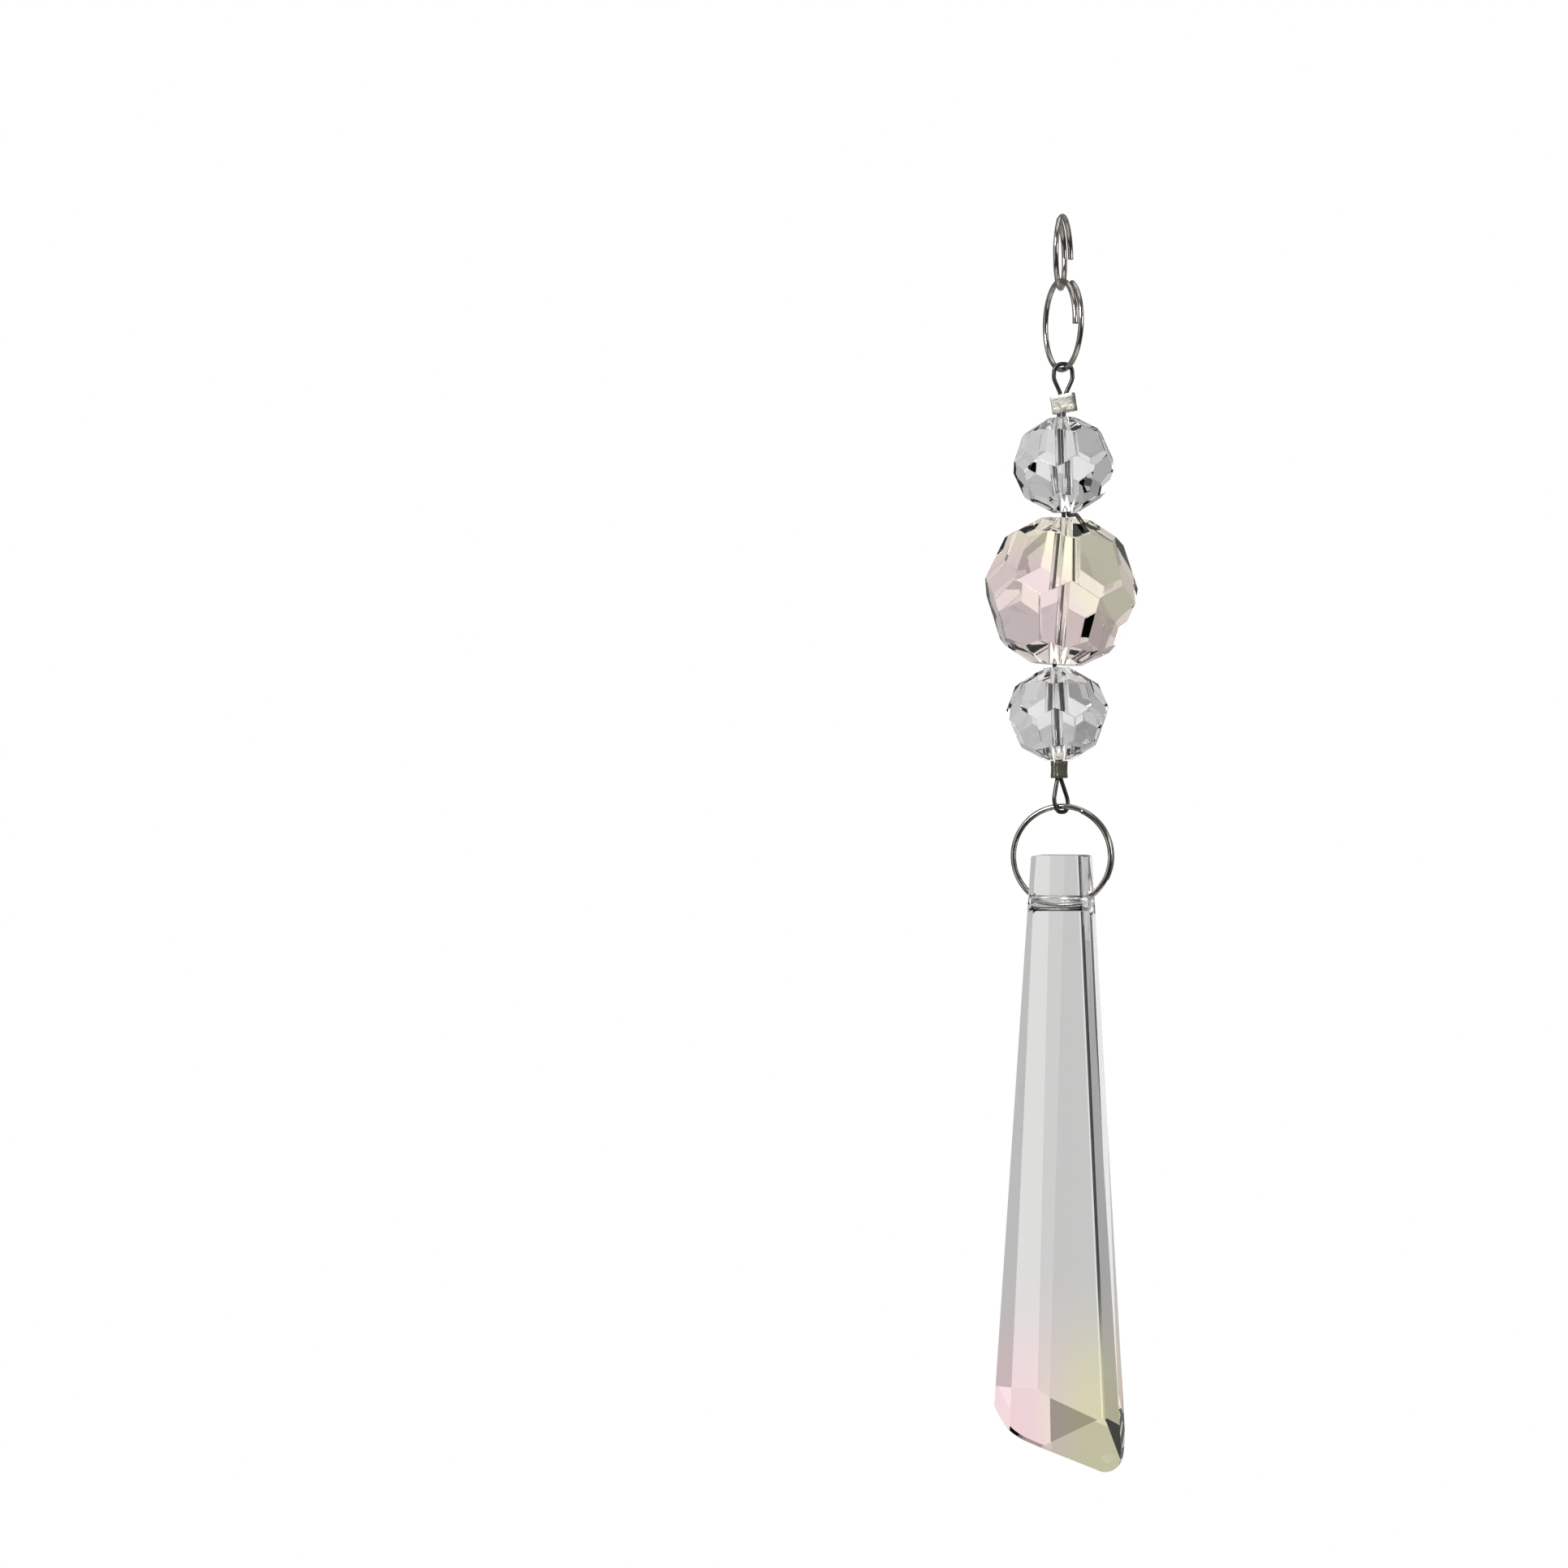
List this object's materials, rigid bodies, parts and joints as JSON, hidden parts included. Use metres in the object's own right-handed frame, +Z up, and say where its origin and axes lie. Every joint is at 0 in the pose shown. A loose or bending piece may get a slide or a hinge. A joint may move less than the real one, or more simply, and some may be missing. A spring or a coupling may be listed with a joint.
{
  "type": "hanging ornament",
  "caption": "Hanging ornament strand: linked split rings, a crimped wire strung with faceted beads, and a long bevelled crystal icicle.",
  "frame": {"origin": "inside of the top split ring, where the hook or eyelet that carries the ornament bears", "axes": "+Z up, +X to the right seen from the front, +Y away from the viewer"},
  "size_m": [0.0182, 0.0182, 0.1485],
  "materials": {
    "ring_wire": "polished nickel-plated spring wire",
    "beading_wire": "dull dark steel wire",
    "upper_crimp": "silver-plated, scuffed where squeezed",
    "lower_crimp": "tarnished grey-olive",
    "clear_crystal": "clear polished crystal glass, cut facets",
    "coated_crystal": "clear crystal with a faint pink and yellow-green coating",
    "icicle_crystal": "clear polished crystal, coated pink and yellow-green at the tip"
  },
  "bodies": {
    "hanger": {"top_split_ring": "ring_wire"},
    "link": {"link_split_ring": "ring_wire"},
    "strand": {"beading_wire": "beading_wire", "upper_crimp": "upper_crimp", "lower_crimp": "lower_crimp"},
    "upper_bead": {"upper_bead": "clear_crystal"},
    "centre_bead": {"centre_bead": "coated_crystal"},
    "lower_bead": {"lower_bead": "clear_crystal"},
    "icicle_ring": {"icicle_split_ring": "ring_wire"},
    "icicle": {"icicle_prism": "icicle_crystal"}
  },
  "joints": [
    {"name": "link_swing", "type": "hinge", "parent": "hanger", "child": "link", "pos_m": [-0.00037, 0.00008, -0.00813], "axis": [0.225, 0.9744, 0], "range_deg": [-45, 45]},
    {"name": "strand_swing", "type": "hinge", "parent": "link", "child": "strand", "pos_m": [-0.00001, 0.0002, -0.0171], "axis": [1, 0, 0], "range_deg": [-45, 45]},
    {"name": "upper_bead_spin", "type": "hinge", "parent": "strand", "child": "upper_bead", "pos_m": [0.00004, 0.0002, -0.02909], "axis": [-0.0491, 0, 0.9988], "continuous": true},
    {"name": "centre_bead_spin", "type": "hinge", "parent": "strand", "child": "centre_bead", "pos_m": [-0.00026, 0.0002, -0.0441], "axis": [0.0667, 0, 0.9978], "continuous": true},
    {"name": "lower_bead_spin", "type": "hinge", "parent": "strand", "child": "lower_bead", "pos_m": [-0.00067, 0.0002, -0.05855], "axis": [-0.0314, 0, 0.9995], "continuous": true},
    {"name": "icicle_ring_swing", "type": "hinge", "parent": "strand", "child": "icicle_ring", "pos_m": [-0.0001, 0.0002, -0.07022], "axis": [0.7071, 0.7071, 0], "range_deg": [-45, 45]},
    {"name": "icicle_swing", "type": "hinge", "parent": "icicle_ring", "child": "icicle", "pos_m": [-0.00019, -0.00016, -0.081], "axis": [0.9703, -0.2419, 0], "range_deg": [-60, 60]}
  ]
}
